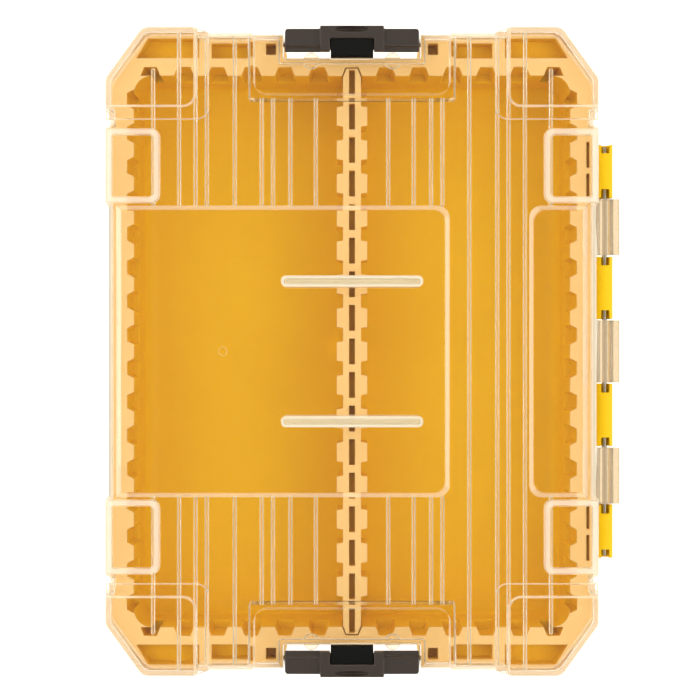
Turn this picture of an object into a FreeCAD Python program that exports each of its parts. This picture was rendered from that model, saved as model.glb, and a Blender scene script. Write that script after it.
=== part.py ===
import FreeCAD, Part
import os
import re
import Sketcher

doc = FreeCAD.newDocument("compartment_organizer_box")

# Driving sizes in millimetres, one per row: X runs to the hinge, Y along the case, Z up
SIZES = {
    # Case outline at the seam between base and lid
    "rim_width": 248,
    "rim_length": 324.8,
    "seam_height": 54,
    "case_height": 80,
    "waist_inset": 1.0,
    "waist_half": 72.5,
    "pad_far": 111,
    "groove_inset": 2.0,
    "groove_far": 119.5,
    "corner_start": 135.5,
    "corner_half": 104.5,
    "corner_inner": 78,
    "end_inset": 2.4,
    "step_run": 1.5,
    "corner_round": 6,
    # Base tray
    "foot_height": 2.5,
    "floor_thick": 2.5,
    "band_height": 6,
    "band_proud": 0.8,
    "base_draft": 1.8,
    "tray_half_width": 110.3,
    "tray_half_length": 139.4,
    "tray_floor_round": 9,
    "slot_pitch": 17,
    "slot_mouth": 10,
    "slot_back": 6.4,
    "slot_depth_side": 3.5,
    "slot_depth_end": 4.4,
    "slot_height": 25,
    "slots_per_side": 16,
    "slots_per_end": 13,
    "rim_cell_inner": 118.7,
    "rim_cell_wide": 1.5,
    "rim_cell_long": 13,
    "rim_cell_deep": 6,
    "rim_cell_near": 83.5,
    "rim_cell_far": 99.5,
    "well_inner": 148.4,
    "well_outer": 158.2,
    "well_deep": 10,
    "middle_well_start": 50,
    "middle_well_end": 71,
    "corner_well_start": 77.5,
    "corner_well_end": 109,
    "corner_well_back": 103,
    "pin_well_start": 38.5,
    "pin_well_end": 43.5,
    "pin_well_deep": 12,
    "side_rib_wide": 3,
    "side_rib_proud": 0.9,
    "side_ribs": 8,
    "foot_play": 0.6,
    "skid_half_width": 20,
    "skid_half_length": 60,
    # Latch recess, shared by base and lid
    "recess_half": 34.5,
    "recess_wall": 147.2,
    # Centre divider
    "divider_thick": 9.2,
    "divider_across": 15.5,
    "divider_tooth_root": 10.4,
    "divider_tooth_tip": 9.4,
    "divider_teeth": 15,
    "divider_cell_long": 13,
    "divider_cell_wide": 2.9,
    "divider_cell_deep": 10,
    "divider_cells": 17,
    "divider_play": 0.3,
    "divider_corner": 12,
    # Hinge
    "hinge_x": 127.9,
    "hinge_radius": 4.1,
    "hinge_tab_end": 135,
    "hinge_root": 121,
    "hinge_gap_start": 123.4,
    "hinge_pin_radius": 1.3,
    "hinge_play": 0.3,
    "pin_play": 0.1,
    "knuckle_one": 16.05,
    "knuckle_two": 48.2,
    "knuckle_three": 77.2,
    "knuckle_four": 104.4,
    "knuckle_window": 4.4,
    # Lid shell
    "lid_wall": 2.2,
    "lid_panel": 2.2,
    "plateau_rise": 2.5,
    "flange_height": 3,
    "flange_proud": 0.8,
    "lid_draft": 2.4,
    "lid_bevel": 2,
    "shelf_height": 63,
    "shelf_half": 49,
    "shelf_start": 127.5,
    "shelf_round": 7,
    "frame_inner": 94.6,
    "frame_near": 73,
    "frame_far": 110,
    "frame_rim": 3.4,
    "frame_round": 4.5,
    "plateau_x": 77.4,
    "plateau_y": 121,
    "plateau_step": 6.6,
    "plateau_round": 6,
    "rib_wide": 1.3,
    "rib_deep": 1.1,
    "window_half": 72,
    "window_left": -116.5,
    "window_right": 48.2,
    "window_far_left": 87.5,
    "window_far_right": 116.5,
    "window_deep": 0.8,
    "window_border": 2.4,
    "window_round": 6,
    "tab_centre": 20.4,
    "tab_radius": 3.9,
    "tab_thick": 2.5,
    "tab_reach": 2.7,
    "catch_half": 11.4,
    "catch_deep": 0.9,
    "catch_tall": 3.4,
    "gate_x": -63.9,
    "gate_radius": 2.2,
    "gate_rise": 0.25,
    # Hold-down bars under the lid
    "bar_half": 35.2,
    "bar_offset": 34.8,
    "bar_thick": 5.6,
    "bar_wall": 1.4,
    "bar_gap": 0.5,
    # Latches
    "latch_half": 33.7,
    "latch_inner": 150.2,
    "latch_outer": 161.9,
    "latch_top": 64,
    "latch_skin": 2.5,
    "ledge_wide": 2.6,
    "ledge_drop": 1.3,
    "side_trim": 5,
    "latch_pivot_y": 156.6,
    "latch_pivot_z": 46,
    "latch_barrel": 2.6,
    "latch_pin_radius": 1.2,
    "latch_pin_half": 41,
    "grip_half": 16,
    "grip_outer": 163.1,
    "grip_top": 66,
    "grip_bottom": 52,
    "scoop_half": 8.3,
    "scoop_wide": 2.2,
    "scoop_deep": 2,
    "scoop_inset": 1.9,
    "tongue_half": 10.7,
    "tongue_rear": 156.7,
    "tongue_gap": 0.3,
    "tongue_top": 65,
    "tongue_tip": 58.2,
    "tongue_leg": 50,
}

sheet = doc.addObject("Spreadsheet::Sheet", "Sizes")
for row, (alias, value) in enumerate(SIZES.items(), start=1):
    sheet.set(f"A{row}", alias)
    sheet.set(f"B{row}", str(value))
    sheet.setAlias(f"B{row}", alias)
doc.recompute()


def cell(text):
    """Expression text with every size word pointed at its cell in the sheet."""
    return re.sub(r"[a-z_]{3,}", lambda word: f"Sizes.{word.group()}", str(text))


def number(text):
    """Present value of an expression."""
    return float(sheet.evalExpression(cell(text)))


def bind(item, **expressions):
    """Bind properties of an object to expressions; a double underscore stands for a dot."""
    for name, text in expressions.items():
        item.setExpression(name.replace("__", "."), cell(text))


def new_body(name):
    return doc.addObject("PartDesign::Body", name)


def origin_part(body, role):
    return next(part for part in body.Origin.OriginFeatures if part.Role == role)


def feature(body, kind, name):
    item = body.newObject(f"PartDesign::{kind}", name)
    body.Tip = item
    return item


def block(body, kind, name, x_range, y_range, z_range):
    """Box between two expressions on each axis."""
    item = feature(body, f"{kind}Box", name)
    bind(
        item,
        Length=f"({x_range[1]}) - ({x_range[0]})",
        Width=f"({y_range[1]}) - ({y_range[0]})",
        Height=f"({z_range[1]}) - ({z_range[0]})",
        Placement__Base__x=x_range[0],
        Placement__Base__y=y_range[0],
        Placement__Base__z=z_range[0],
    )
    return item


TURNS = {
    "x": FreeCAD.Rotation(FreeCAD.Vector(0, 1, 0), 90),
    "y": FreeCAD.Rotation(FreeCAD.Vector(1, 0, 0), -90),
    "z": FreeCAD.Rotation(),
}


def rod(body, kind, name, axis, start, radius, length):
    """Cylinder from a start point along one axis."""
    item = feature(body, f"{kind}Cylinder", name)
    item.Placement = FreeCAD.Placement(FreeCAD.Vector(), TURNS[axis])
    bind(
        item,
        Radius=radius,
        Height=length,
        Placement__Base__x=start[0],
        Placement__Base__y=start[1],
        Placement__Base__z=start[2],
    )
    return item


def wedge(body, kind, name, start, turn, near_wide, far_wide, depth, tall):
    """Trapezoid prism, near_wide at its start and far_wide at its depth, turned about Z."""
    item = feature(body, f"{kind}Wedge", name)
    item.Placement = FreeCAD.Placement(FreeCAD.Vector(), FreeCAD.Rotation(turn, 0, 0))
    bind(
        item,
        Xmin=f"-({near_wide}) / 2",
        Xmax=f"({near_wide}) / 2",
        X2min=f"-({far_wide}) / 2",
        X2max=f"({far_wide}) / 2",
        Ymin="0",
        Ymax=depth,
        Zmin="0",
        Z2min="0",
        Zmax=tall,
        Z2max=tall,
        Placement__Base__x=start[0],
        Placement__Base__y=start[1],
        Placement__Base__z=start[2],
    )
    return item


def row(body, original, axis, count, pitch):
    """Linear pattern of one feature along a positive axis of the body."""
    item = body.newObject("PartDesign::LinearPattern", f"{original.Name}_row")
    item.Originals = [original]
    item.Direction = (origin_part(body, f"{axis}_Axis"), [""])
    bind(item, Length=f"({count} - 1) * ({pitch})", Occurrences=count)
    body.Tip = item
    return item


def row_start(count, pitch):
    """Expression for the first place of a centred row."""
    return f"-({count} - 1) * {pitch} / 2"


def sketch_on(body, name, role, offset="0"):
    sketch = body.newObject("Sketcher::SketchObject", name)
    sketch.AttachmentSupport = [(origin_part(body, role), "")]
    sketch.MapMode = "FlatFace"
    bind(sketch, AttachmentOffset__Base__z=offset)
    return sketch


def loop(sketch, corners, rounded=()):
    """Closed line loop through corner expressions; rounded gives pairs of corner and radius."""
    first = sketch.GeometryCount
    points = [FreeCAD.Vector(number(x), number(y), 0) for x, y in corners]
    count = len(points)
    lines = [Part.LineSegment(points[i], points[(i + 1) % count]) for i in range(count)]
    sketch.addGeometry(lines, False)
    joined = [
        Sketcher.Constraint("Coincident", first + i, 2, first + (i + 1) % count, 1)
        for i in range(count)
    ]
    sketch.addConstraint(joined)
    placed = []
    for i, point in enumerate(points):
        placed.append(Sketcher.Constraint("DistanceX", -1, 1, first + i, 1, point.x))
        placed.append(Sketcher.Constraint("DistanceY", -1, 1, first + i, 1, point.y))
    texts = [text for corner in corners for text in corner]
    for made, text in zip(sketch.addConstraint(placed), texts):
        sketch.setExpression(f"Constraints[{made}]", cell(text))
    for i, radius in rounded:
        before = sketch.GeometryCount
        sketch.fillet(first + i, 1, number(radius), True, True)
        arc = next(k for k in range(before, sketch.GeometryCount)
                   if sketch.Geometry[k].TypeId == "Part::GeomArcOfCircle")
        made = sketch.addConstraint(Sketcher.Constraint("Radius", arc, number(radius)))
        sketch.setExpression(f"Constraints[{made}]", cell(radius))


def circle(sketch, x, y, radius):
    """Full circle about a point given by expressions."""
    centre = FreeCAD.Vector(number(x), number(y), 0)
    made = sketch.addGeometry(Part.Circle(centre, FreeCAD.Vector(0, 0, 1), number(radius)), False)
    limits = [
        (Sketcher.Constraint("Radius", made, number(radius)), radius),
        (Sketcher.Constraint("DistanceX", -1, 1, made, 3, centre.x), x),
        (Sketcher.Constraint("DistanceY", -1, 1, made, 3, centre.y), y),
    ]
    for limit, text in limits:
        sketch.setExpression(f"Constraints[{sketch.addConstraint(limit)}]", cell(text))


def rectangle(x_range, y_range):
    """Corners of a rectangle, counter-clockwise from its low corner."""
    return [
        (x_range[0], y_range[0]),
        (x_range[1], y_range[0]),
        (x_range[1], y_range[1]),
        (x_range[0], y_range[1]),
    ]


def negative(text):
    return f"-({text})"


def mirrored(corners, x_sign, y_sign):
    return [(f"{x_sign} * ({x})", f"{y_sign} * ({y})") for x, y in corners]


def in_quarters(corners):
    """Copies of a loop in all four quarters of the plan."""
    return [mirrored(corners, x_sign, y_sign) for x_sign in (1, -1) for y_sign in (1, -1)]


def at_ends(corners):
    """Copies of a loop at both ends of the case."""
    return [mirrored(corners, 1, y_sign) for y_sign in (1, -1)]


def plan(body, name, height, loops, rounded=()):
    """Sketch of several loops seen from above, all rounded alike."""
    sketch = sketch_on(body, name, "XY_Plane", height)
    for corners in loops:
        loop(sketch, corners, rounded)
    return sketch


def whole_outline(quarter):
    """Whole loop from the corners of its quarter in positive X and Y, counter-clockwise."""
    second = [(negative(x), y) for x, y in reversed(quarter)]
    third = [(negative(x), negative(y)) for x, y in quarter]
    fourth = [(x, negative(y)) for x, y in reversed(quarter)]
    return quarter + second + third + fourth


def loft(body, kind, name, sketches):
    item = feature(body, f"{kind}Loft", name)
    item.Profile = sketches[0]
    item.Sections = sketches[1:]
    item.Ruled = True
    return item


def extrude(body, kind, sketch, name, length, symmetric=False, flipped=False):
    """Pad or pocket of a sketch."""
    item = feature(body, kind, name)
    item.Profile = sketch
    if symmetric:
        item.SideType = "Symmetric"
    item.Reversed = flipped
    bind(item, Length=length)
    return item


def round_edges(body, name, radius, chosen):
    """Fillet of the tip's edges for which chosen(edge) is true."""
    doc.recompute()
    tip = body.Tip
    edges = [f"Edge{i}" for i, edge in enumerate(tip.Shape.Edges, start=1) if chosen(edge)]
    item = feature(body, "Fillet", name)
    item.Base = (tip, edges)
    bind(item, Radius=radius)
    return item


HALF_WIDTH = "rim_width / 2"
HALF_LENGTH = "rim_length / 2"
END_FACE = "(rim_length / 2 - end_inset)"
OUTSIDE = "(rim_length / 2 + 5)"
SIGNS = {"left": 1, "right": -1}


def case_quarter(inset):
    """Quarter of the case outline, drawn in by an inset."""
    return [
        (f"{HALF_WIDTH} - waist_inset - ({inset})", "waist_half"),
        (f"{HALF_WIDTH} - ({inset})", "waist_half + step_run"),
        (f"{HALF_WIDTH} - ({inset})", "pad_far"),
        (f"{HALF_WIDTH} - groove_inset - ({inset})", "pad_far + step_run"),
        (f"{HALF_WIDTH} - groove_inset - ({inset})", "groove_far"),
        (f"{HALF_WIDTH} - ({inset})", "groove_far + step_run"),
        (f"{HALF_WIDTH} - ({inset})", f"corner_start - ({inset}) / 3"),
        (f"corner_half - ({inset}) / 2", f"{HALF_LENGTH} - ({inset})"),
        ("corner_inner", f"{HALF_LENGTH} - ({inset})"),
        ("corner_inner - step_run", f"{END_FACE} - ({inset})"),
    ]


ROUNDED_CORNERS = (6, 7)


def case_section(body, name, height, inset, extra=()):
    """Sketch of the case outline at a height, with any extra corners closing each quarter."""
    quarter = case_quarter(inset) + list(extra)
    count = len(quarter)
    rounded = []
    for turn in range(4):
        for corner in ROUNDED_CORNERS:
            place = corner if turn % 2 == 0 else count - 1 - corner
            rounded.append((turn * count + place, "corner_round"))
    return plan(body, name, height, [whole_outline(quarter)], rounded)


RECESS = rectangle(("-recess_half", "recess_half"), ("recess_wall", OUTSIDE))

# Base tray
tray = new_body("base_tray")
tray_levels = [
    ("foot_height", "band_proud + base_draft"),
    ("seam_height - band_height - band_proud", "band_proud"),
    ("seam_height - band_height", "0"),
    ("seam_height", "0"),
]
tray_sections = [
    case_section(tray, f"tray_section_{i}", height, inset)
    for i, (height, inset) in enumerate(tray_levels)
]
loft(tray, "Additive", "tray_outside", tray_sections)
tray_recess = plan(tray, "tray_recess_plan", "seam_height", at_ends(RECESS))
extrude(tray, "Pocket", tray_recess, "tray_recess", "seam_height")

# Hollow for the contents, rounded into its floor and corners
FLOOR = "foot_height + floor_thick"
block(tray, "Subtractive", "hollow", ("-tray_half_width", "tray_half_width"),
      ("-tray_half_length", "tray_half_length"), (FLOOR, "seam_height + 1"))


def hollow_edge(edge):
    """True for the upright and floor edges of the hollow."""
    box = edge.BoundBox
    reach_x = max(abs(box.XMin), abs(box.XMax)) - number("tray_half_width")
    reach_y = max(abs(box.YMin), abs(box.YMax)) - number("tray_half_length")
    return reach_x < 0.1 and reach_y < 0.1 and number(FLOOR) - 0.1 < box.ZMin < number("seam_height") - 0.1


round_edges(tray, "hollow_rounds", "tray_floor_round", hollow_edge)

# Hinge knuckles of the base, with a window at each end that shows the pin
BASE_KNUCKLES = [
    ("knuckle_three + hinge_play", "knuckle_four"),
    ("knuckle_one + hinge_play", "knuckle_two - hinge_play"),
    ("-knuckle_two + hinge_play", "-knuckle_one - hinge_play"),
    ("-knuckle_four", "-knuckle_three - hinge_play"),
]
LID_KNUCKLES = [
    ("knuckle_two + hinge_play", "knuckle_three - hinge_play"),
    ("-knuckle_one + hinge_play", "knuckle_one - hinge_play"),
    ("-knuckle_three + hinge_play", "-knuckle_two - hinge_play"),
]
GAP_X = ("hinge_gap_start", "hinge_tab_end + 1")
GAP_TOP = "seam_height + hinge_radius + hinge_play"


def hinge_rod(body, kind, name, half_length, radius):
    """Rod on the hinge axis, centred along the case."""
    start = ("hinge_x", f"-({half_length})", "seam_height")
    return rod(body, kind, name, "y", start, radius, f"2 * ({half_length})")


hinge_rod(tray, "Additive", "tray_knuckles", "knuckle_four", "hinge_radius")
block(tray, "Additive", "tray_knuckle_root", ("hinge_root", "hinge_x"), ("-knuckle_four", "knuckle_four"),
      ("seam_height - band_height", "seam_height"))


def knuckle_room(knuckles):
    """Plan loops that clear room for the other leaf's knuckles."""
    spans = [(f"{low} - 2 * hinge_play", f"{high} + 2 * hinge_play") for low, high in knuckles]
    return [rectangle(GAP_X, span) for span in spans]


extrude(tray, "Pocket", plan(tray, "lid_knuckle_room_plan", GAP_TOP, knuckle_room(LID_KNUCKLES)),
        "lid_knuckle_room", "2 * hinge_radius + band_height")
window_x = ("hinge_x - hinge_radius / 2", "hinge_x + hinge_radius / 2")
openings = []
for low, high in BASE_KNUCKLES:
    openings.append(rectangle(window_x, (low, f"{low} + knuckle_window")))
    openings.append(rectangle(window_x, (f"{high} - knuckle_window", high)))
extrude(tray, "Pocket", plan(tray, "pin_window_plan", GAP_TOP, openings), "pin_windows",
        "hinge_radius * 1.5 + hinge_play")
hinge_rod(tray, "Subtractive", "tray_pin_bore", "knuckle_four + 1", "hinge_pin_radius + pin_play")

# Open wells in the ends, and the bores for the latch pins
middle_well = rectangle(("middle_well_start", "middle_well_end"), ("well_inner", "well_outer - end_inset"))
corner_well = [("corner_well_start", "well_inner"), ("corner_well_end", "well_inner"),
               ("corner_well_back", "well_outer"), ("corner_well_start", "well_outer")]
pin_well = rectangle(("pin_well_start", "pin_well_end"), ("recess_wall + 3", "well_outer - end_inset"))
end_wells = plan(tray, "end_well_plan", "seam_height", in_quarters(middle_well) + in_quarters(corner_well))
extrude(tray, "Pocket", end_wells, "end_wells", "well_deep")
pin_wells = plan(tray, "pin_well_plan", "seam_height", in_quarters(pin_well))
extrude(tray, "Pocket", pin_wells, "pin_wells", "pin_well_deep")
bores = sketch_on(tray, "latch_bore_ends", "YZ_Plane")
for sign in SIGNS.values():
    circle(bores, f"{sign} * latch_pivot_y", "latch_pivot_z", "latch_pin_radius + pin_play")
extrude(tray, "Pocket", bores, "latch_bores", "2 * pin_well_end", symmetric=True)

# Feet that drop into the frames of a lid below, and a skid under the middle
FRAME_OUT = f"({HALF_WIDTH} - lid_draft)"
foot = rectangle(("frame_inner + frame_rim + foot_play", f"{FRAME_OUT} - frame_rim - foot_play"),
                 ("frame_near + frame_rim + foot_play", "frame_far - frame_rim - foot_play"))
skid = rectangle(("-skid_half_width", "skid_half_width"), ("-skid_half_length", "skid_half_length"))
extrude(tray, "Pad", plan(tray, "foot_plan", "0", in_quarters(foot) + [skid]), "feet", "foot_height + 0.5")

# Upright ribs outside the long walls, and two cells in the hinge-side rim beside each frame of the lid
RIB_OUT = f"{HALF_WIDTH} - waist_inset - band_proud + side_rib_proud"
SIDES = {"hinge_side": (1, -90), "front_side": (-1, 90)}
for name, (sign, turn) in SIDES.items():
    first_rib = (f"{sign} * (rim_cell_inner + rim_cell_wide)", row_start("side_ribs", "slot_pitch"),
                 "foot_height + 3")
    rib = wedge(tray, "Additive", f"{name}_rib", first_rib, turn, "side_rib_wide", "side_rib_wide - 1",
                f"{RIB_OUT} - rim_cell_inner - rim_cell_wide",
                "seam_height - band_height - hinge_radius - foot_height - 3")
    row(tray, rib, "Y", "side_ribs", "slot_pitch")
for end, sign in SIGNS.items():
    for place in ("near", "far"):
        wedge(tray, "Subtractive", f"{end}_{place}_cell",
              ("rim_cell_inner", f"{sign} * rim_cell_{place}", "seam_height - rim_cell_deep"), -90,
              "rim_cell_long", "rim_cell_long", "rim_cell_wide", "rim_cell_deep + 1")

# Divider slots all round
SLOT_FOOT = "seam_height - slot_height"
for name, (sign, turn) in SIDES.items():
    first_slot = (f"{sign} * tray_half_width", row_start("slots_per_side", "slot_pitch"), SLOT_FOOT)
    slot = wedge(tray, "Subtractive", f"{name}_slot", first_slot, turn, "slot_mouth", "slot_back",
                 "slot_depth_side", "slot_height + 1")
    row(tray, slot, "Y", "slots_per_side", "slot_pitch")
ENDS = {"left_end": (1, 0), "right_end": (-1, 180)}
for name, (sign, turn) in ENDS.items():
    first_slot = (row_start("slots_per_end", "slot_pitch"), f"{sign} * tray_half_length", SLOT_FOOT)
    slot = wedge(tray, "Subtractive", f"{name}_slot", first_slot, turn, "slot_mouth", "slot_back",
                 "slot_depth_end", "slot_height + 1")
    row(tray, slot, "X", "slots_per_end", "slot_pitch")

# Centre divider that drops into the middle slots of the two end walls
divider = new_body("centre_divider")
DIVIDER_END = "(tray_half_length - divider_play)"
side_view = sketch_on(divider, "divider_side", "YZ_Plane")
loop(side_view, [
    (f"-{DIVIDER_END} + divider_corner", FLOOR),
    (f"{DIVIDER_END} - divider_corner", FLOOR),
    (DIVIDER_END, f"{FLOOR} + divider_corner"),
    (DIVIDER_END, "seam_height"),
    (negative(DIVIDER_END), "seam_height"),
    (negative(DIVIDER_END), f"{FLOOR} + divider_corner"),
])
extrude(divider, "Pad", side_view, "divider_wall", "divider_thick", symmetric=True)
for name, (sign, turn) in ENDS.items():
    wedge(divider, "Additive", f"divider_{name}",
          ("0", f"{sign} * {DIVIDER_END}", "seam_height - slot_height + divider_play"), turn,
          "divider_thick - divider_play", "slot_back - 2 * divider_play",
          "slot_depth_end - divider_play", "slot_height - divider_play")
for name, (sign, turn) in SIDES.items():
    tooth = wedge(divider, "Additive", f"{name}_tooth",
                  (f"{sign} * divider_thick / 2", row_start("divider_teeth", "slot_pitch"),
                   "seam_height - slot_height"),
                  turn, "divider_tooth_root", "divider_tooth_tip", "(divider_across - divider_thick) / 2",
                  "slot_height")
    row(divider, tooth, "Y", "divider_teeth", "slot_pitch")
FIRST_CELL = row_start("divider_cells", "slot_pitch")
divider_cell = block(divider, "Subtractive", "divider_cell",
                     ("-divider_cell_wide / 2", "divider_cell_wide / 2"),
                     (f"{FIRST_CELL} - divider_cell_long / 2", f"{FIRST_CELL} + divider_cell_long / 2"),
                     ("seam_height - divider_cell_deep", "seam_height + 1"))
row(divider, divider_cell, "Y", "divider_cells", "slot_pitch")

# Hinge pin
hinge_pin = new_body("hinge_pin")
hinge_rod(hinge_pin, "Additive", "hinge_pin_rod", "knuckle_four - 1", "hinge_pin_radius")

# Lid shell
lid = new_body("lid_shell")
PANEL_TOP = "(case_height - plateau_rise)"
PANEL_UNDER = "(case_height - plateau_rise - lid_panel)"
PANEL_EDGE = "(case_height - plateau_rise - lid_bevel)"
lid_levels = [
    ("seam_height", "0"),
    ("seam_height + flange_height", "0"),
    ("seam_height + flange_height + flange_proud", "flange_proud"),
    (PANEL_EDGE, "lid_draft"),
    (PANEL_TOP, "lid_draft + lid_bevel"),
]
lid_sections = [
    case_section(lid, f"lid_section_{i}", height, inset)
    for i, (height, inset) in enumerate(lid_levels)
]
loft(lid, "Additive", "lid_outside", lid_sections)

# Raised corners in two steps, and framed pads on the long edges
corner_steps = {"low_corners": ("plateau_rise / 2", "plateau_step"), "high_corners": ("plateau_rise", "0")}
for name, (rise, back) in corner_steps.items():
    corner = [
        (f"plateau_x - {back}", f"plateau_y - {back}"),
        (FRAME_OUT, f"plateau_y - {back}"),
        (FRAME_OUT, "corner_start - lid_draft / 3"),
        ("corner_half - lid_draft / 2", f"{HALF_LENGTH} - lid_draft"),
        ("corner_inner", f"{HALF_LENGTH} - lid_draft"),
        (f"plateau_x - {back}", f"{END_FACE} - lid_draft"),
    ]
    raised = plan(lid, f"{name}_plan", PANEL_EDGE, in_quarters(corner),
                  [(0, "plateau_round"), (2, "corner_round"), (3, "corner_round")])
    extrude(lid, "Pad", raised, name, f"lid_bevel + {rise}")
frame = rectangle(("frame_inner", FRAME_OUT), ("frame_near", "frame_far"))
socket = rectangle(("frame_inner + frame_rim", f"{FRAME_OUT} - frame_rim"),
                   ("frame_near + frame_rim", "frame_far - frame_rim"))
frames = plan(lid, "frame_plan", PANEL_EDGE, in_quarters(frame), [(0, "frame_round"), (3, "frame_round")])
extrude(lid, "Pad", frames, "frames", "lid_bevel + plateau_rise")
sockets = plan(lid, "socket_plan", "case_height", in_quarters(socket),
               [(0, "frame_round / 2"), (3, "frame_round / 2")])
extrude(lid, "Pocket", sockets, "foot_sockets", "plateau_rise")

# Shallow windows in the top with sloped borders, and the gate mark of the moulding
windows = {
    "wide_window": ("window_left", "window_right", (1, 2)),
    "narrow_window": ("window_far_left", "window_far_right", (0, 3)),
}
window_levels = [(PANEL_TOP, "0"), (f"{PANEL_TOP} - window_deep", "window_border")]
for name, (left, right, round_corners) in windows.items():
    layers = []
    for layer, (height, inset) in enumerate(window_levels):
        shape = rectangle((f"{left} + {inset}", f"{right} - {inset}"),
                          (f"-window_half + {inset}", f"window_half - {inset}"))
        rounded = [(corner, "window_round") for corner in round_corners]
        layers.append(plan(lid, f"{name}_{layer}", height, [shape], rounded))
    loft(lid, "Subtractive", name, layers)
rod(lid, "Additive", "gate_mark", "z", ("gate_x", "0", f"{PANEL_TOP} - window_deep - 0.5"), "gate_radius",
    "gate_rise + 0.5")

# Lowered shelf and open recess at each latch
shelf = rectangle(("-shelf_half", "shelf_half"), ("shelf_start", OUTSIDE))
shelves = plan(lid, "shelf_plan", "case_height", at_ends(shelf), [(0, "shelf_round"), (1, "shelf_round")])
extrude(lid, "Pocket", shelves, "shelves", "case_height - shelf_height")
lid_recess = plan(lid, "lid_recess_plan", "case_height", at_ends(RECESS))
extrude(lid, "Pocket", lid_recess, "lid_recess", "case_height - seam_height")

# Hollow of the lid: the main hollow stays clear of the shelves, which are hollowed on their own
hollow_levels = [("seam_height", "lid_wall + flange_proud"), (PANEL_UNDER, "lid_wall + lid_draft")]
hollow_sections = []
for i, (height, inset) in enumerate(hollow_levels):
    beside_shelf = [("shelf_half + lid_wall", f"{END_FACE} - ({inset})"),
                    ("shelf_half + lid_wall", "shelf_start - lid_wall")]
    hollow_sections.append(case_section(lid, f"lid_hollow_{i}", height, inset, beside_shelf))
loft(lid, "Subtractive", "lid_hollow", hollow_sections)
SHELF_SIDE = "shelf_half + lid_wall + 1"
SHELF_BACK = f"{END_FACE} - lid_wall - flange_proud"
under_shelf = [
    (negative(SHELF_SIDE), "shelf_start - lid_wall - 1"),
    (SHELF_SIDE, "shelf_start - lid_wall - 1"),
    (SHELF_SIDE, SHELF_BACK),
    ("recess_half + lid_wall", SHELF_BACK),
    ("recess_half + lid_wall", "recess_wall - lid_wall"),
    ("-recess_half - lid_wall", "recess_wall - lid_wall"),
    ("-recess_half - lid_wall", SHELF_BACK),
    (negative(SHELF_SIDE), SHELF_BACK),
]
extrude(lid, "Pocket", plan(lid, "under_shelf_plan", "seam_height", at_ends(under_shelf)), "under_shelves",
        "shelf_height - lid_panel - seam_height", flipped=True)

# Catch groove and stop tabs at each latch
groove = rectangle(("-catch_half", "catch_half"), ("recess_wall - catch_deep", "recess_wall + 0.5"))
catches = plan(lid, "catch_plan", "tongue_tip - 0.4 + catch_tall", at_ends(groove))
extrude(lid, "Pocket", catches, "catches", "catch_tall")
tabs = sketch_on(lid, "tab_plan", "XY_Plane", "shelf_height - tab_thick")
for sign in SIGNS.values():
    for x_sign in (1, -1):
        circle(tabs, f"{x_sign} * tab_centre", f"{sign} * (recess_wall + tab_reach - tab_radius)",
               "tab_radius")
extrude(lid, "Pad", tabs, "tabs", "tab_thick")

# Hinge knuckles of the lid, each with a flat tab that stops the lid past upright
hinge_rod(lid, "Additive", "lid_knuckles", "knuckle_three - hinge_play", "hinge_radius")
block(lid, "Additive", "lid_knuckle_root", ("hinge_root", "hinge_tab_end"),
      ("-knuckle_three + hinge_play", "knuckle_three - hinge_play"),
      ("seam_height", "seam_height + hinge_radius"))
extrude(lid, "Pocket", plan(lid, "base_knuckle_room_plan", GAP_TOP, knuckle_room(BASE_KNUCKLES)),
        "base_knuckle_room", "2 * hinge_radius + 2")
hinge_rod(lid, "Subtractive", "lid_pin_bore", "knuckle_four + 1", "hinge_pin_radius + pin_play")

# Ribs under the panel: short ones at both ends, and full ones along the strip between the windows
SHORT_RIBS = {
    "shelf_start - lid_wall / 2": (17.9, 30.5, 39.1, 44.7),
    f"{END_FACE} - lid_draft - lid_wall / 2": (58, 71.8, 77.4),
    f"{HALF_LENGTH} - lid_draft - lid_wall / 2": (85.5,),
    "tray_half_length": (98.3,),
}
FULL_RIBS = (58, 71.8, 77.4, 85.5)


def rib_row(name, places, y_span):
    """Ribs at X places over a Y range, drawn as one sketch facing along the case."""
    sketch = sketch_on(lid, f"{name}_ends", "XZ_Plane", negative(y_span[0]))
    for place in places:
        loop(sketch, rectangle((f"{place} - rib_wide / 2", f"{place} + rib_wide / 2"),
                               (f"{PANEL_UNDER} - rib_deep", f"{PANEL_UNDER} + 0.5")))
    extrude(lid, "Pad", sketch, name, f"({y_span[1]}) - ({y_span[0]})", flipped=True)


for group, (reach, places) in enumerate(SHORT_RIBS.items()):
    both = [sign * place for place in places for sign in (1, -1)]
    rib_row(f"left_ribs_{group}", both, ("window_half", reach))
    rib_row(f"right_ribs_{group}", both, (negative(reach), "-window_half"))
rib_row("ribs_between_windows", FULL_RIBS, ("-window_half - 0.5", "window_half + 0.5"))

# Hold-down bars: trough sections that hang from the panel and stop just above the divider
for name, sign in SIGNS.items():
    bar = new_body(f"{name}_hold_down_bar")
    BAR_TALL = f"{PANEL_UNDER} - seam_height - bar_gap"
    for kind, height, inset, length in (("Pad", "seam_height + bar_gap", "0", BAR_TALL),
                                        ("Pocket", PANEL_UNDER, "bar_wall", f"{BAR_TALL} - 2 * bar_wall")):
        shape = rectangle((f"-bar_half + {inset}", f"bar_half - {inset}"),
                          (f"{sign} * bar_offset - bar_thick / 2 + {inset}",
                           f"{sign} * bar_offset + bar_thick / 2 - {inset}"))
        rounded = [(corner, f"bar_thick * 0.45 - {inset}") for corner in range(4)]
        sketch = plan(bar, f"{name}_bar_{kind.lower()}_plan", height, [shape], rounded)
        extrude(bar, kind, sketch, f"{name}_bar_{kind.lower()}", length)

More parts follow.
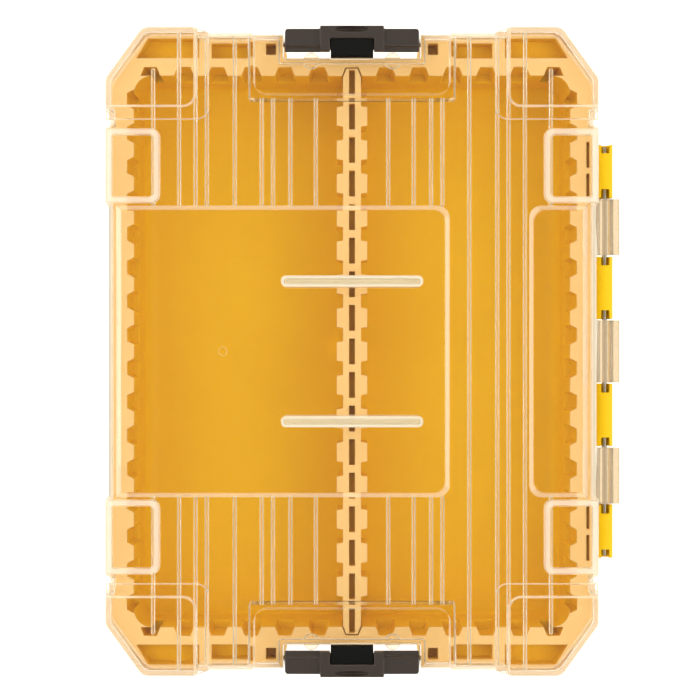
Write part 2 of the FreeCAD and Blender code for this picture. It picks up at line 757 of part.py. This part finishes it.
# Latches: lever, hook tongue and pivot pin at each end
for name, sign in SIGNS.items():
    def across(low, high):
        """Y range that is mirrored for the right-hand latch."""
        return (low, high) if sign > 0 else (negative(high), negative(low))

    lever = new_body(f"{name}_latch_lever")
    block(lever, "Additive", f"{name}_lever_block", ("-latch_half", "latch_half"),
          across("latch_inner", "latch_outer"), ("latch_pivot_z", "latch_top"))
    block(lever, "Additive", f"{name}_grip", ("-grip_half", "grip_half"),
          across("tongue_rear", "grip_outer"), ("grip_bottom", "grip_top"))
    block(lever, "Subtractive", f"{name}_front_ledge", ("-latch_half - 1", "latch_half + 1"),
          across("latch_inner - 1", "latch_inner + ledge_wide"), ("latch_top - ledge_drop", "grip_top + 1"))
    block(lever, "Additive", f"{name}_grip_arms", ("-grip_half", "grip_half"),
          across("latch_inner", "tongue_rear"), ("latch_top - latch_skin", "grip_top"))
    block(lever, "Subtractive", f"{name}_side_trim", ("-latch_half - 1", "latch_half + 1"),
          across("latch_inner - 1", "latch_inner + side_trim"),
          ("latch_pivot_z - 1", "latch_top - latch_skin"))
    block(lever, "Subtractive", f"{name}_lever_hollow",
          ("-latch_half + latch_skin", "latch_half - latch_skin"),
          across("latch_inner - 1", "latch_outer - latch_skin"),
          ("latch_pivot_z - 1", "latch_top - latch_skin"))
    rod(lever, "Additive", f"{name}_lever_barrel", "x",
        ("-latch_half", f"{sign} * latch_pivot_y", "latch_pivot_z"), "latch_barrel", "2 * latch_half")
    block(lever, "Additive", f"{name}_lever_foot", ("-latch_half", "latch_half"),
          across("latch_pivot_y", "latch_outer"), ("latch_pivot_z - latch_barrel", "latch_pivot_z"))
    rod(lever, "Subtractive", f"{name}_lever_bore", "x",
        ("-latch_half - 1", f"{sign} * latch_pivot_y", "latch_pivot_z"),
        "latch_pin_radius + pin_play", "2 * latch_half + 2")
    block(lever, "Subtractive", f"{name}_tongue_slot",
          ("-tongue_half - tongue_gap", "tongue_half + tongue_gap"),
          across("latch_inner - 1", "tongue_rear"), ("latch_top - latch_skin - 1", "grip_top + 1"))
    scoop = feature(lever, "SubtractiveEllipsoid", f"{name}_scoop")
    bind(scoop, Radius1="scoop_deep", Radius2="scoop_half", Radius3="scoop_wide / 2",
         Placement__Base__y=f"{sign} * (grip_outer - scoop_inset)", Placement__Base__z="grip_top")

    tongue = new_body(f"{name}_latch_tongue")
    hook = sketch_on(tongue, f"{name}_hook_side", "YZ_Plane")
    tip = "recess_wall + tongue_gap"
    loop(hook, [(f"{sign} * ({y})", z) for y, z in [
        ("latch_outer - latch_skin", "tongue_leg"),
        ("latch_outer - latch_skin", "latch_top - latch_skin"),
        ("tongue_rear", "latch_top - latch_skin"),
        ("tongue_rear", "tongue_top"),
        (f"{tip} + 1", "tongue_top"),
        (tip, "tongue_top - 1"),
        (tip, "tongue_tip + 1.2"),
        (f"{tip} + 0.9", "tongue_tip"),
        (f"{tip} + 2.3", "tongue_tip + 1.2"),
        (f"{tip} + 2.3", "latch_top - latch_skin - 0.5"),
        ("latch_outer - latch_skin - 2.4", "latch_top - latch_skin - 2.6"),
        ("latch_outer - latch_skin - 2.4", "tongue_leg"),
    ]])
    extrude(tongue, "Pad", hook, f"{name}_hook", "2 * tongue_half", symmetric=True)

    latch_pin = new_body(f"{name}_latch_pin")
    rod(latch_pin, "Additive", f"{name}_latch_rod", "x",
        ("-latch_pin_half", f"{sign} * latch_pivot_y", "latch_pivot_z"),
        "latch_pin_radius", "2 * latch_pin_half")

doc.recompute()

os.makedirs("parts", exist_ok=True)
for item in doc.Objects:
    if "Invalid" in item.State or "Error" in item.State:
        raise SystemExit(f"{item.Name} did not build: {item.State}")
for body in doc.findObjects("PartDesign::Body"):
    if body.Shape.isNull() or not body.Shape.isValid() or len(body.Shape.Solids) != 1:
        raise SystemExit(f"{body.Name} is not one valid solid")
    body.Shape.exportStep(f"parts/{body.Name}.step")
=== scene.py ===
import math

import bmesh
import bpy
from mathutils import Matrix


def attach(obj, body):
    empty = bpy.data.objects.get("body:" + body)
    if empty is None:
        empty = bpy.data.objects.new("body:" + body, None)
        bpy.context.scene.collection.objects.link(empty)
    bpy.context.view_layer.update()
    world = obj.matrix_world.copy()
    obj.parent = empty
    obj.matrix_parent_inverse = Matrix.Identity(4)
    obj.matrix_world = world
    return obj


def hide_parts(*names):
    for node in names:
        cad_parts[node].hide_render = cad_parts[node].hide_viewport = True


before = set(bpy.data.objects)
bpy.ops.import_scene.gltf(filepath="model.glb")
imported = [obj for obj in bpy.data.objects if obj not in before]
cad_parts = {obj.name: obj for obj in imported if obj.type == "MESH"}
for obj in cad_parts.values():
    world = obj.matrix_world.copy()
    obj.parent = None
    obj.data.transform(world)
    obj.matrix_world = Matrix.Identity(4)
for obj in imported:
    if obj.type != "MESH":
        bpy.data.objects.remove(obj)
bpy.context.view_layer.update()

# Base tray: one injection moulding in golden yellow polypropylene, with toothed walls that take loose
# dividers. Everything else on the case is hung on it. The mould leaves every corner slightly round.
MM = 0.001
TRAY_CORNER = 0.35 * MM


def linear(hex_colour):
    """Linear RGBA of an sRGB hex colour."""
    channels = [int(hex_colour[i:i + 2], 16) / 255 for i in (1, 3, 5)]
    return [c / 12.92 if c <= 0.04045 else ((c + 0.055) / 1.055) ** 2.4 for c in channels] + [1.0]


def new_material(name):
    """Material with an empty node tree and its output node."""
    material = bpy.data.materials.new(name)
    material.use_nodes = True
    material.node_tree.nodes.clear()
    return material, add_node(material.node_tree, "ShaderNodeOutputMaterial")


def add_node(tree, kind, links=(), settings=(), **values):
    """Node with its properties set, its sockets filled and its inputs linked."""
    node = tree.nodes.new(kind)
    for name, value in dict(settings).items():
        setattr(node, name, value)
    for name, value in values.items():
        node.inputs[name.replace("__", " ")].default_value = value
    for name, socket in dict(links).items():
        tree.links.new(socket, node.inputs[name])
    return node


FLAT = math.radians(1.5)
SHARP = math.radians(28)
CURVED = math.radians(12)


def flat_groups(mesh):
    """Lists of faces that the rounding, whose own faces are in slot 1, left as one flat area."""
    seen, groups = set(), []
    for face in mesh.faces:
        if face in seen or face.material_index:
            continue
        seen.add(face)
        group = [face]
        for near in group:
            for other in (other for edge in near.edges for other in edge.link_faces):
                level = not other.material_index and other.normal.angle(near.normal, math.pi) < FLAT
                if level and other not in seen:
                    seen.add(other)
                    group.append(other)
        if len(group) > 1 or len(face.verts) > 4:
            groups.append(group)
    return groups


def refill(mesh, group):
    """Replace a flat area's faces with clean triangles inside the same border."""
    inside = set(group)
    border = [edge for face in group for edge in face.edges
              if sum(other in inside for other in edge.link_faces) == 1]
    facing = max(group, key=lambda face: face.calc_area()).normal.copy()
    bmesh.ops.delete(mesh, geom=group, context="FACES_KEEP_BOUNDARY")
    bmesh.ops.triangle_fill(mesh, use_beauty=True, edges=border, normal=facing)


def rounded_copy(node, name, finish, radius, corner_finish=None, radius_at=None, shift=None):
    """Copy of a CAD node with its loose triangles joined and its sharp corners rounded.

    radius_at gives an edge's own radius, up to radius, and shift moves the points that would lie in
    another piece's face. The rounded faces take corner_finish, where there is one.
    """
    mesh = bmesh.new()
    mesh.from_mesh(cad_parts[node].data)
    bmesh.ops.remove_doubles(mesh, verts=mesh.verts, dist=1e-6)
    for face in mesh.faces:
        face.material_index = 0
    bmesh.ops.dissolve_limit(mesh, angle_limit=FLAT, verts=mesh.verts, edges=mesh.edges)
    weight = mesh.edges.layers.float.new("bevel_weight_edge")
    for edge in mesh.edges:
        if edge.calc_face_angle() > SHARP:
            edge[weight] = radius_at(edge) / radius if radius_at else 1.0
    if shift:
        for point in mesh.verts:
            point.co.z += shift(point.co)
    piece = bpy.data.objects.new(name, bpy.data.meshes.new(name))
    mesh.to_mesh(piece.data)
    mesh.free()
    bpy.context.scene.collection.objects.link(piece)
    piece.data.materials.append(finish)
    piece.data.materials.append(corner_finish or finish)
    rounding = piece.modifiers.new("rounding", "BEVEL")
    rounding.limit_method = "WEIGHT"
    rounding.width = radius
    rounding.segments = 2
    rounding.material = 1
    rounding.miter_outer = "MITER_ARC"
    rounding.use_clamp_overlap = False
    rounding.loop_slide = False
    bpy.ops.object.select_all(action="DESELECT")
    bpy.context.view_layer.objects.active = piece
    piece.select_set(True)
    bpy.ops.object.modifier_apply(modifier=rounding.name)
    mesh = bmesh.new()
    mesh.from_mesh(piece.data)
    for group in flat_groups(mesh):
        refill(mesh, group)
    bmesh.ops.recalc_face_normals(mesh, faces=mesh.faces)
    for edge in mesh.edges:
        rounded = all(face.material_index for face in edge.link_faces)
        edge.smooth = rounded or edge.calc_face_angle(math.pi) < CURVED
    for face in mesh.faces:
        face.smooth = True
        if not corner_finish:
            face.material_index = 0
    mesh.to_mesh(piece.data)
    mesh.free()
    if not corner_finish:
        piece.data.materials.pop()
    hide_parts(node)
    return piece


# Polypropylene, moulded in an etched tool: even satin, a trace of flow clouding and a fine grain.
# The 0.4 mm grain is drawn coarser than the real 0.1 mm so that it shows. The top faces of the rim and
# the divider are mixed paler, a painted highlight of the strong light that falls on them.
# Height, depth and reach of the painted highlight on the top faces at the rim.
RIM = 54 * MM
PAINTED_LIGHT_DEPTH = 0.45 * MM
PAINTED_LIGHT_REACH = 122 * MM
moulded_polypropylene, out = new_material("moulded_yellow_polypropylene")
tree = moulded_polypropylene.node_tree
place = add_node(tree, "ShaderNodeTexCoord")
cloud = add_node(tree, "ShaderNodeTexNoise", {"Vector": place.outputs["Object"]},
                 Scale=1 / (60 * MM), Detail=3)
tint = add_node(tree, "ShaderNodeValToRGB", {"Fac": cloud.outputs["Fac"]})
tint.color_ramp.elements[0].color = linear("#EDBC0C")
tint.color_ramp.elements[1].color = linear("#F6C812")
spot = add_node(tree, "ShaderNodeSeparateXYZ", {"Vector": place.outputs["Object"]})
at_rim = add_node(tree, "ShaderNodeMath", {0: spot.outputs["Z"]}, {"operation": "COMPARE"})
at_rim.inputs[1].default_value = RIM
at_rim.inputs[2].default_value = PAINTED_LIGHT_DEPTH
inboard = add_node(tree, "ShaderNodeMath", {0: spot.outputs["X"]}, {"operation": "LESS_THAN"})
inboard.inputs[1].default_value = PAINTED_LIGHT_REACH
both = add_node(tree, "ShaderNodeMath", {0: at_rim.outputs["Value"], 1: inboard.outputs["Value"]},
                {"operation": "MULTIPLY"})
# Painted highlight: faces at the rim's height, short of the hinge side, are mixed towards pale cream,
# standing for the strong light on them.
painted_light_share = add_node(tree, "ShaderNodeMapRange", {"Value": both.outputs["Value"]}, To__Min=0.0, To__Max=0.72)
painted_lit_top = add_node(tree, "ShaderNodeMixRGB", {"Fac": painted_light_share.outputs["Result"], "Color1": tint.outputs["Color"]},
                  Color2=linear("#F2D0A0"))
grain = add_node(tree, "ShaderNodeTexNoise", {"Vector": place.outputs["Object"]},
                 Scale=1 / (0.4 * MM), Detail=2)
gloss = add_node(tree, "ShaderNodeMapRange", {"Value": grain.outputs["Fac"]}, To__Min=0.36, To__Max=0.5)
relief = add_node(tree, "ShaderNodeBump", {"Height": grain.outputs["Fac"]}, Strength=0.12, Distance=0.05 * MM)
skin = add_node(tree, "ShaderNodeBsdfPrincipled",
                {"Base Color": painted_lit_top.outputs["Color"], "Roughness": gloss.outputs["Result"],
                 "Normal": relief.outputs["Normal"]}, IOR=1.49, Specular__IOR__Level=0.15)
tree.links.new(skin.outputs["BSDF"], out.inputs["Surface"])


HOLLOW_CORNER_X = (100 * MM, 116 * MM)
HOLLOW_CORNER_Y = (125 * MM, 146 * MM)


def in_hollow_corner(point):
    """True in the four rounded corners of the tray's hollow."""
    return (HOLLOW_CORNER_X[0] < abs(point.x) < HOLLOW_CORNER_X[1]
            and HOLLOW_CORNER_Y[0] < abs(point.y) < HOLLOW_CORNER_Y[1])


def tray_radius(edge):
    """Radius of a tray corner: none where the end slots run into the rounded corners of the hollow."""
    return 0.0 if all(in_hollow_corner(point.co) for point in edge.verts) else TRAY_CORNER


tray = rounded_copy("base_tray", "tray", moulded_polypropylene, TRAY_CORNER, radius_at=tray_radius)
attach(tray, "base")

# Centre divider: a toothed double wall of the same polypropylene that lifts out of the tray.
# It drops into the middle slots of the two end walls and is cored with a row of cells.
DIVIDER_CORNER = 0.25 * MM
divider = rounded_copy("centre_divider", "divider", moulded_polypropylene, DIVIDER_CORNER)
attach(divider, "base")

# Pins: bright drawn steel rods. The long one is pushed through all the hinge knuckles from one end,
# and a short one holds each latch. Drawing leaves fine lines along their length.
drawn_steel, out = new_material("drawn_steel")
tree = drawn_steel.node_tree
place = add_node(tree, "ShaderNodeTexCoord")
along = add_node(tree, "ShaderNodeMapping", {"Vector": place.outputs["Object"]}, Scale=(1, 0.02, 1))
lines = add_node(tree, "ShaderNodeTexNoise", {"Vector": along.outputs["Vector"]},
                 Scale=1 / (0.3 * MM), Detail=2)
shine = add_node(tree, "ShaderNodeMapRange", {"Value": lines.outputs["Fac"]}, To__Min=0.22, To__Max=0.4)
steel = add_node(tree, "ShaderNodeBsdfPrincipled", {"Roughness": shine.outputs["Result"]},
                 Base__Color=linear("#B9B6B0"), Metallic=1.0)
tree.links.new(steel.outputs["BSDF"], out.inputs["Surface"])
for name in ("hinge_pin", "left_latch_pin", "right_latch_pin"):
    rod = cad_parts[name]
    rod.data.materials.clear()
    rod.data.materials.append(drawn_steel)

# Lid: a clear polycarbonate moulding with ribs under its panel, raised corners and foot frames.
# It swings on the hinge pin; its corners are round, and every rib and step carries a pale cream line, a
# painted highlight of the light caught there.
LID_CORNER = 0.4 * MM
FRAME_CREST = 0.7 * MM
CORNER_CREST = 0.6 * MM
PANEL_TOP = 77.5 * MM
WINDOW_FLOOR = 76.7 * MM
CREST_HEIGHT = 78.6 * MM
FRAME_TOP = 79.9 * MM
FRAME_END = 114 * MM
FLANGE_TOP = 60 * MM
TAB_TOP = 63.5 * MM
TAB_FOOT = 147.3 * MM
WINDOW_EDGE = 112 * MM
CHAMFER_FOOT = 75 * MM
KNUCKLES = 123.5 * MM
LATCH_RECESS = 37 * MM
LATCH_WALL = 144 * MM
SHELF_BACK = 126.5 * MM
SHELF_SIDE = 53 * MM
WALL_REACH = 2.6 * MM
SEAM_GAP = 0.06 * MM
GATE_X = -63.9 * MM
GATE_REACH = 3 * MM
GATE_FOOT = 76.8 * MM
GATE_CORNER = 0.22 * MM


def behind_shelf(point):
    """True on the hidden side of the wall round the lowered shelf, which is left sharp."""
    back = SHELF_BACK - abs(point.y)
    side = SHELF_SIDE - abs(point.x)
    at_back = 0 < back < WALL_REACH
    at_side = 0 < side < WALL_REACH and back < 0
    return min(back, side) > -WALL_REACH and (at_back or at_side)


def lid_radius(edge):
    """Radius of a lid corner: wide on the raised frames and corners, none at their feet."""
    points = [point.co for point in edge.verts]
    if all(math.hypot(point.x - GATE_X, point.y) < GATE_REACH for point in points):
        return GATE_CORNER if points[0].z > GATE_FOOT else 0.0
    if all(abs(point.z - PANEL_TOP) < SEAM_GAP or behind_shelf(point) for point in points):
        return 0.0
    if all(point.z > CREST_HEIGHT for point in points):
        return FRAME_CREST if all(abs(point.y) < FRAME_END for point in points) else CORNER_CREST
    return LID_CORNER


def off_the_rim(point):
    """Lift of the lid's lower faces off the tray's rim."""
    return SEAM_GAP if abs(point.z - RIM) < SEAM_GAP / 2 else 0.0


def clear_moulding(name, colour, haze, edge_haze, roughest, fade=None):
    """Clear plastic with a share of milky haze, and more of it where a wall is seen along its depth.

    With fade, a pair of heights, the haze sets in from the lower one up to the higher one.
    """
    # On the corner, slope, crest and bar materials this haze is painted light: its pale diffuse share stands
    # for light caught and reflected in the plastic.
    material, out = new_material(name)
    tree = material.node_tree
    place = add_node(tree, "ShaderNodeTexCoord")
    flow = add_node(tree, "ShaderNodeTexNoise", {"Vector": place.outputs["Object"]},
                    Scale=1 / (25 * MM), Detail=2)
    polish = add_node(tree, "ShaderNodeMapRange", {"Value": flow.outputs["Fac"]},
                      To__Min=0.0, To__Max=roughest)
    wave = add_node(tree, "ShaderNodeBump", {"Height": flow.outputs["Fac"]}, Strength=0.05, Distance=0.3 * MM)
    slant = add_node(tree, "ShaderNodeLayerWeight", Blend=0.5)
    clearness = add_node(tree, "ShaderNodeMapRange", {"Value": slant.outputs["Facing"]}, From__Min=0.35,
                         From__Max=0.85, To__Min=1 - haze, To__Max=1 - edge_haze)
    clear_share = clearness.outputs["Result"]
    if fade:
        spot = add_node(tree, "ShaderNodeSeparateXYZ", {"Vector": place.outputs["Object"]})
        onset = add_node(tree, "ShaderNodeMapRange", {"Value": spot.outputs["Z"]}, From__Min=fade[0],
                         From__Max=fade[1], To__Min=1.0, To__Max=0.0)
        clearest = add_node(tree, "ShaderNodeMath", {0: clear_share, 1: onset.outputs["Result"]},
                            {"operation": "MAXIMUM"})
        clear_share = clearest.outputs["Value"]
    body = add_node(tree, "ShaderNodeBsdfPrincipled",
                    {"Roughness": polish.outputs["Result"], "Normal": wave.outputs["Normal"],
                     "Transmission Weight": clear_share},
                    Base__Color=linear(colour), IOR=1.58)
    passing = add_node(tree, "ShaderNodeBsdfTransparent", Color=linear("#FFFDF8"))
    ray = add_node(tree, "ShaderNodeLightPath")
    light_through = add_node(tree, "ShaderNodeMixShader", {"Fac": ray.outputs["Is Shadow Ray"]})
    tree.links.new(body.outputs["BSDF"], light_through.inputs[1])
    tree.links.new(passing.outputs["BSDF"], light_through.inputs[2])
    tree.links.new(light_through.outputs["Shader"], out.inputs["Surface"])
    return material


# Polycarbonate, moulded in a polished tool: clear, but pale where a wall is seen along its depth.
# Its rounded corners, the frames' crests and the window borders carry cream lines, painted highlights of the
# light caught there; the flange is satin from the tool, the thick knuckles are drawn a darker beige and the
# panel is plainly clear.
clear_polycarbonate = clear_moulding("moulded_clear_polycarbonate", "#FFFAF2", 0.0, 0.5, 0.04)
# Painted highlights: the corner, slope and crest materials put a pale cream diffuse share on the rounded
# faces, window borders and frame crests.
corner_highlight_polycarbonate = clear_moulding("polycarbonate_corner_painted_highlight", "#FFEECC", 0.45, 0.55, 0.3)
satin_polycarbonate = clear_moulding("satin_clear_polycarbonate", "#FFF6E4", 0.65, 0.75, 0.4)
slope_highlight_polycarbonate = clear_moulding("polycarbonate_slope_painted_highlight", "#FFEFD0", 0.32, 0.45, 0.2,
                                      (WINDOW_FLOOR, PANEL_TOP))
crest_highlight_polycarbonate = clear_moulding("polycarbonate_crest_painted_highlight", "#FFF6E4", 0.5, 0.6, 0.3)
knuckle_polycarbonate = clear_moulding("polycarbonate_knuckle", "#DCCBAE", 0.3, 0.5, 0.1)
panel_polycarbonate = clear_moulding("polycarbonate_panel", "#FFFAF2", 0.0, 0.05, 0.04)
CORNER, SATIN, SLOPE, CREST, KNUCKLE, PANEL = range(1, 7)


def lid_finish(face):
    """Material slot of a lid face, by its place and slope."""
    x, y, height = abs(face.center.x), abs(face.center.y), face.center.z
    upward = face.normal.z
    level = abs(upward) > 0.99
    at_latch = x < LATCH_RECESS and y > LATCH_WALL
    latch_tab = x < LATCH_RECESS and y > TAB_FOOT and FLANGE_TOP < height < TAB_TOP
    if height > FRAME_TOP and y < FRAME_END:
        return CREST
    if height > CHAMFER_FOOT and 0.6 < upward < 0.8:
        return CORNER
    if height > WINDOW_FLOOR and 0.9 < upward < 0.99 and x < WINDOW_EDGE:
        return SLOPE
    if height < FLANGE_TOP and face.center.x > KNUCKLES:
        return KNUCKLE
    if level and (latch_tab or height < FLANGE_TOP and not at_latch):
        return SATIN
    if height > FLANGE_TOP and (behind_shelf(face.center) or abs(upward) > 0.9 and not face.material_index):
        return PANEL
    return face.material_index


lid = rounded_copy("lid_shell", "lid", clear_polycarbonate, FRAME_CREST, corner_highlight_polycarbonate,
                   lid_radius, off_the_rim)
for finish in (satin_polycarbonate, slope_highlight_polycarbonate, crest_highlight_polycarbonate, knuckle_polycarbonate,
               panel_polycarbonate):
    lid.data.materials.append(finish)
for face in lid.data.polygons:
    face.material_index = lid_finish(face)
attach(lid, "lid")

# Hold-down bars: clear troughs moulded in the same polycarbonate, drawn pale cream all over as a painted
# reflection of the light from above that their walls send back.
# They hang from the lid's panel and keep the centre divider down when the lid is shut.
BAR_TOP = 75.3 * MM
BAR_CORNER = 0.3 * MM


def below_the_panel(point):
    """Drop of the bars' upper faces off the lid's panel."""
    return -SEAM_GAP if abs(point.z - BAR_TOP) < SEAM_GAP / 2 else 0.0


# Painted reflection: a large pale diffuse share over the whole bar stands for the light its trough walls
# reflect.
bar_reflection_polycarbonate = clear_moulding("clear_polycarbonate_painted_reflection", "#FFFAEC", 0.8, 0.85, 0.4)
for side in ("left", "right"):
    bar = rounded_copy(f"{side}_hold_down_bar", f"{side}_bar", bar_reflection_polycarbonate, BAR_CORNER,
                       shift=below_the_panel)
    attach(bar, "lid")

# Latches: levers moulded in black glass-filled nylon that turn on pins in the tray's ends.
# A separate hook tongue in darker acetal is snapped into each lever and grips the lid's edge.
black_nylon, out = new_material("moulded_black_nylon")
tree = black_nylon.node_tree
place = add_node(tree, "ShaderNodeTexCoord")
grain = add_node(tree, "ShaderNodeTexNoise", {"Vector": place.outputs["Object"]},
                 Scale=1 / (0.5 * MM), Detail=3)
gloss = add_node(tree, "ShaderNodeMapRange", {"Value": grain.outputs["Fac"]}, To__Min=0.26, To__Max=0.4)
relief = add_node(tree, "ShaderNodeBump", {"Height": grain.outputs["Fac"]}, Strength=0.2, Distance=0.05 * MM)
nylon = add_node(tree, "ShaderNodeBsdfPrincipled",
                 {"Roughness": gloss.outputs["Result"], "Normal": relief.outputs["Normal"]},
                 Base__Color=linear("#3B3129"), IOR=1.53)
tree.links.new(nylon.outputs["BSDF"], out.inputs["Surface"])
# Acetal, moulded: smoother and deeper black than the nylon, with a faint cloud in its gloss.
black_acetal, out = new_material("moulded_black_acetal")
tree = black_acetal.node_tree
place = add_node(tree, "ShaderNodeTexCoord")
cloud = add_node(tree, "ShaderNodeTexNoise", {"Vector": place.outputs["Object"]},
                 Scale=1 / (6 * MM), Detail=2)
gloss = add_node(tree, "ShaderNodeMapRange", {"Value": cloud.outputs["Fac"]}, To__Min=0.55, To__Max=0.65)
acetal = add_node(tree, "ShaderNodeBsdfPrincipled", {"Roughness": gloss.outputs["Result"]},
                  Base__Color=linear("#0B0B08"), IOR=1.48, Specular__IOR__Level=0.2)
tree.links.new(acetal.outputs["BSDF"], out.inputs["Surface"])
LEVER_CORNER = 0.6 * MM
LEVER_CUT = 1.8 * MM
LEVER_OUTSIDE = (33 * MM, 161 * MM)
TONGUE_CORNER = 0.3 * MM


def lever_radius(edge):
    """Radius of a lever corner: wide on the two upright outer corners."""
    upright = abs(edge.verts[0].co.z - edge.verts[1].co.z) > 0.9 * edge.calc_length()
    outer = all(abs(point.co.x) > LEVER_OUTSIDE[0] and abs(point.co.y) > LEVER_OUTSIDE[1]
                for point in edge.verts)
    return LEVER_CUT if upright and outer else LEVER_CORNER


for side in ("left", "right"):
    lever = rounded_copy(f"{side}_latch_lever", f"{side}_lever", black_nylon, LEVER_CUT,
                         radius_at=lever_radius)
    tongue = rounded_copy(f"{side}_latch_tongue", f"{side}_tongue", black_acetal, TONGUE_CORNER)
    for piece in (lever, tongue):
        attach(piece, f"{side}_latch")

# Studio: a white paper sweep under the case, a room that is pale at the sides and dark overhead,
# three soft boxes and a camera straight above.
FLOOR_SIZE = 6.0
paper, out = new_material("white_paper_sweep")
tree = paper.node_tree
place = add_node(tree, "ShaderNodeTexCoord")
fibre = add_node(tree, "ShaderNodeTexNoise", {"Vector": place.outputs["Object"]},
                 Scale=1 / (2 * MM), Detail=2)
white = add_node(tree, "ShaderNodeMapRange", {"Value": fibre.outputs["Fac"]}, To__Min=0.9, To__Max=0.94)
sheet = add_node(tree, "ShaderNodeBsdfDiffuse", {"Color": white.outputs["Result"]})
glow = add_node(tree, "ShaderNodeEmission", Color=(1, 1, 1, 1), Strength=0.65)
lit_sheet = add_node(tree, "ShaderNodeAddShader")
tree.links.new(sheet.outputs["BSDF"], lit_sheet.inputs[0])
tree.links.new(glow.outputs["Emission"], lit_sheet.inputs[1])
ray = add_node(tree, "ShaderNodeLightPath")
either = add_node(tree, "ShaderNodeMath", {0: ray.outputs["Is Camera Ray"], 1: ray.outputs["Is Glossy Ray"]},
                  {"operation": "MAXIMUM"})
seen = add_node(tree, "ShaderNodeMath", {0: either.outputs["Value"], 1: ray.outputs["Is Transmission Ray"]},
                {"operation": "MAXIMUM"})
shown = add_node(tree, "ShaderNodeMixShader", {"Fac": seen.outputs["Value"]})
tree.links.new(sheet.outputs["BSDF"], shown.inputs[1])
tree.links.new(lit_sheet.outputs["Shader"], shown.inputs[2])
tree.links.new(shown.outputs["Shader"], out.inputs["Surface"])
bpy.ops.object.select_all(action="DESELECT")
bpy.ops.mesh.primitive_plane_add(size=FLOOR_SIZE)
floor = bpy.context.object
floor.name = "floor"
floor.data.materials.append(paper)

# The room is shown only to rays that no rough surface has scattered, so that the panel mirrors its dark
# ceiling and stays clear from above, while the even fill lights the case.
world = bpy.data.worlds.new("studio")
bpy.context.scene.world = world
world.use_nodes = True
tree = world.node_tree
tree.nodes.clear()
out = add_node(tree, "ShaderNodeOutputWorld")
aim = add_node(tree, "ShaderNodeTexCoord")
height = add_node(tree, "ShaderNodeSeparateXYZ", {"Vector": aim.outputs["Generated"]})
level = add_node(tree, "ShaderNodeMapRange", {"Value": height.outputs["Z"]}, From__Min=0.1, From__Max=0.65,
                 To__Min=0.9, To__Max=0.2)
room = add_node(tree, "ShaderNodeBackground", {"Strength": level.outputs["Result"]}, Color=(1, 1, 1, 1))
fill = add_node(tree, "ShaderNodeBackground", Color=(1, 1, 1, 1), Strength=0.95)
backdrop = add_node(tree, "ShaderNodeBackground", Color=(1, 1, 1, 1), Strength=1.0)
ray = add_node(tree, "ShaderNodeLightPath")
sharp = add_node(tree, "ShaderNodeMath",
                 {0: ray.outputs["Is Glossy Ray"], 1: ray.outputs["Is Transmission Ray"]},
                 {"operation": "MAXIMUM"})
unscattered = add_node(tree, "ShaderNodeMath", {0: ray.outputs["Diffuse Depth"]}, {"operation": "LESS_THAN"})
unscattered.inputs[1].default_value = 0.5
mirrored = add_node(tree, "ShaderNodeMath", {0: sharp.outputs["Value"], 1: unscattered.outputs["Value"]},
                    {"operation": "MULTIPLY"})
around = add_node(tree, "ShaderNodeMixShader", {"Fac": mirrored.outputs["Value"]})
tree.links.new(fill.outputs["Background"], around.inputs[1])
tree.links.new(room.outputs["Background"], around.inputs[2])
shown = add_node(tree, "ShaderNodeMixShader", {"Fac": ray.outputs["Is Camera Ray"]})
tree.links.new(around.outputs["Shader"], shown.inputs[1])
tree.links.new(backdrop.outputs["Background"], shown.inputs[2])
tree.links.new(shown.outputs["Shader"], out.inputs["Surface"])


def soft_box(name, place, size, watts):
    """Square area lamp that faces the case."""
    lamp = bpy.data.lights.new(name, "AREA")
    lamp.size = size
    lamp.energy = watts
    holder = bpy.data.objects.new(name, lamp)
    holder.location = place
    holder.rotation_mode = "QUATERNION"
    holder.rotation_quaternion = (-holder.location).to_track_quat("-Z", "Y")
    bpy.context.scene.collection.objects.link(holder)


soft_box("left_soft_box", (-0.95, 0.3, 1.35), 0.9, 6)
soft_box("right_soft_box", (1.0, -0.2, 1.3), 0.9, 5)
soft_box("far_soft_box", (0.1, 1.2, 1.2), 0.9, 3)

LID_TOP = 80 * MM
CAMERA_RANGE = 0.9
LIGHT_BOUNCES = 24
camera = bpy.data.cameras.new("camera")
camera.lens = 94
camera.sensor_width = 36
camera.clip_start = 0.01
viewpoint = bpy.data.objects.new("camera", camera)
viewpoint.location = (-1.0 * MM, 0.7 * MM, LID_TOP + CAMERA_RANGE)
bpy.context.scene.collection.objects.link(viewpoint)
bpy.context.scene.camera = viewpoint
bpy.context.scene.view_settings.view_transform = "Standard"
bpy.context.scene.cycles.max_bounces = LIGHT_BOUNCES
bpy.context.scene.cycles.transmission_bounces = LIGHT_BOUNCES
